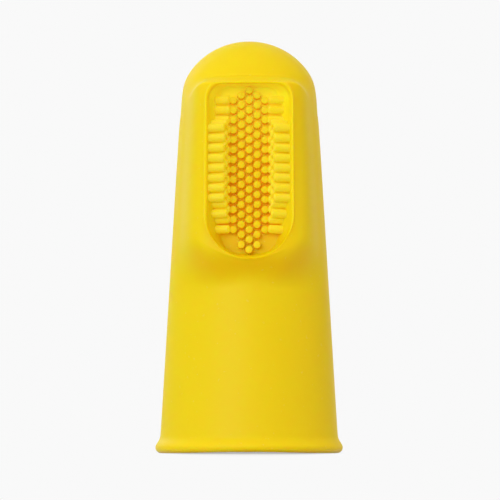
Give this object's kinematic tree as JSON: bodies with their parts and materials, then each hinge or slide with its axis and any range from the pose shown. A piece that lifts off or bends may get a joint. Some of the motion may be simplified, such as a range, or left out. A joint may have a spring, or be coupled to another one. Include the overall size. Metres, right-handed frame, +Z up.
{
  "type": "finger toothbrush",
  "caption": "Hollow silicone thimble with a domed tip, a beaded rim and a U-shaped channel of stubby bristles on its front, worn on a fingertip to brush a small tooth.",
  "frame": {"origin": "centre of the rim's underside, on the finger axis", "axes": "+Z up the finger towards the domed tip, -Y the way the bristles face, +X to the viewer's right when facing the bristles"},
  "size_m": [0.025, 0.025, 0.055],
  "materials": {
    "body_silicone": "satin",
    "bristle_silicone": "satin"
  },
  "bodies": {
    "root": {"finger_sleeve": "body_silicone", "tip_dome": "body_silicone", "rim_bead": "body_silicone", "brush_tray": "body_silicone", "floor_bristles": "bristle_silicone", "left_lower_bristles": "bristle_silicone", "left_middle_bristles": "bristle_silicone", "left_upper_bristles": "bristle_silicone", "right_lower_bristles": "bristle_silicone", "right_middle_bristles": "bristle_silicone", "right_upper_bristles": "bristle_silicone"}
  },
  "joints": []
}
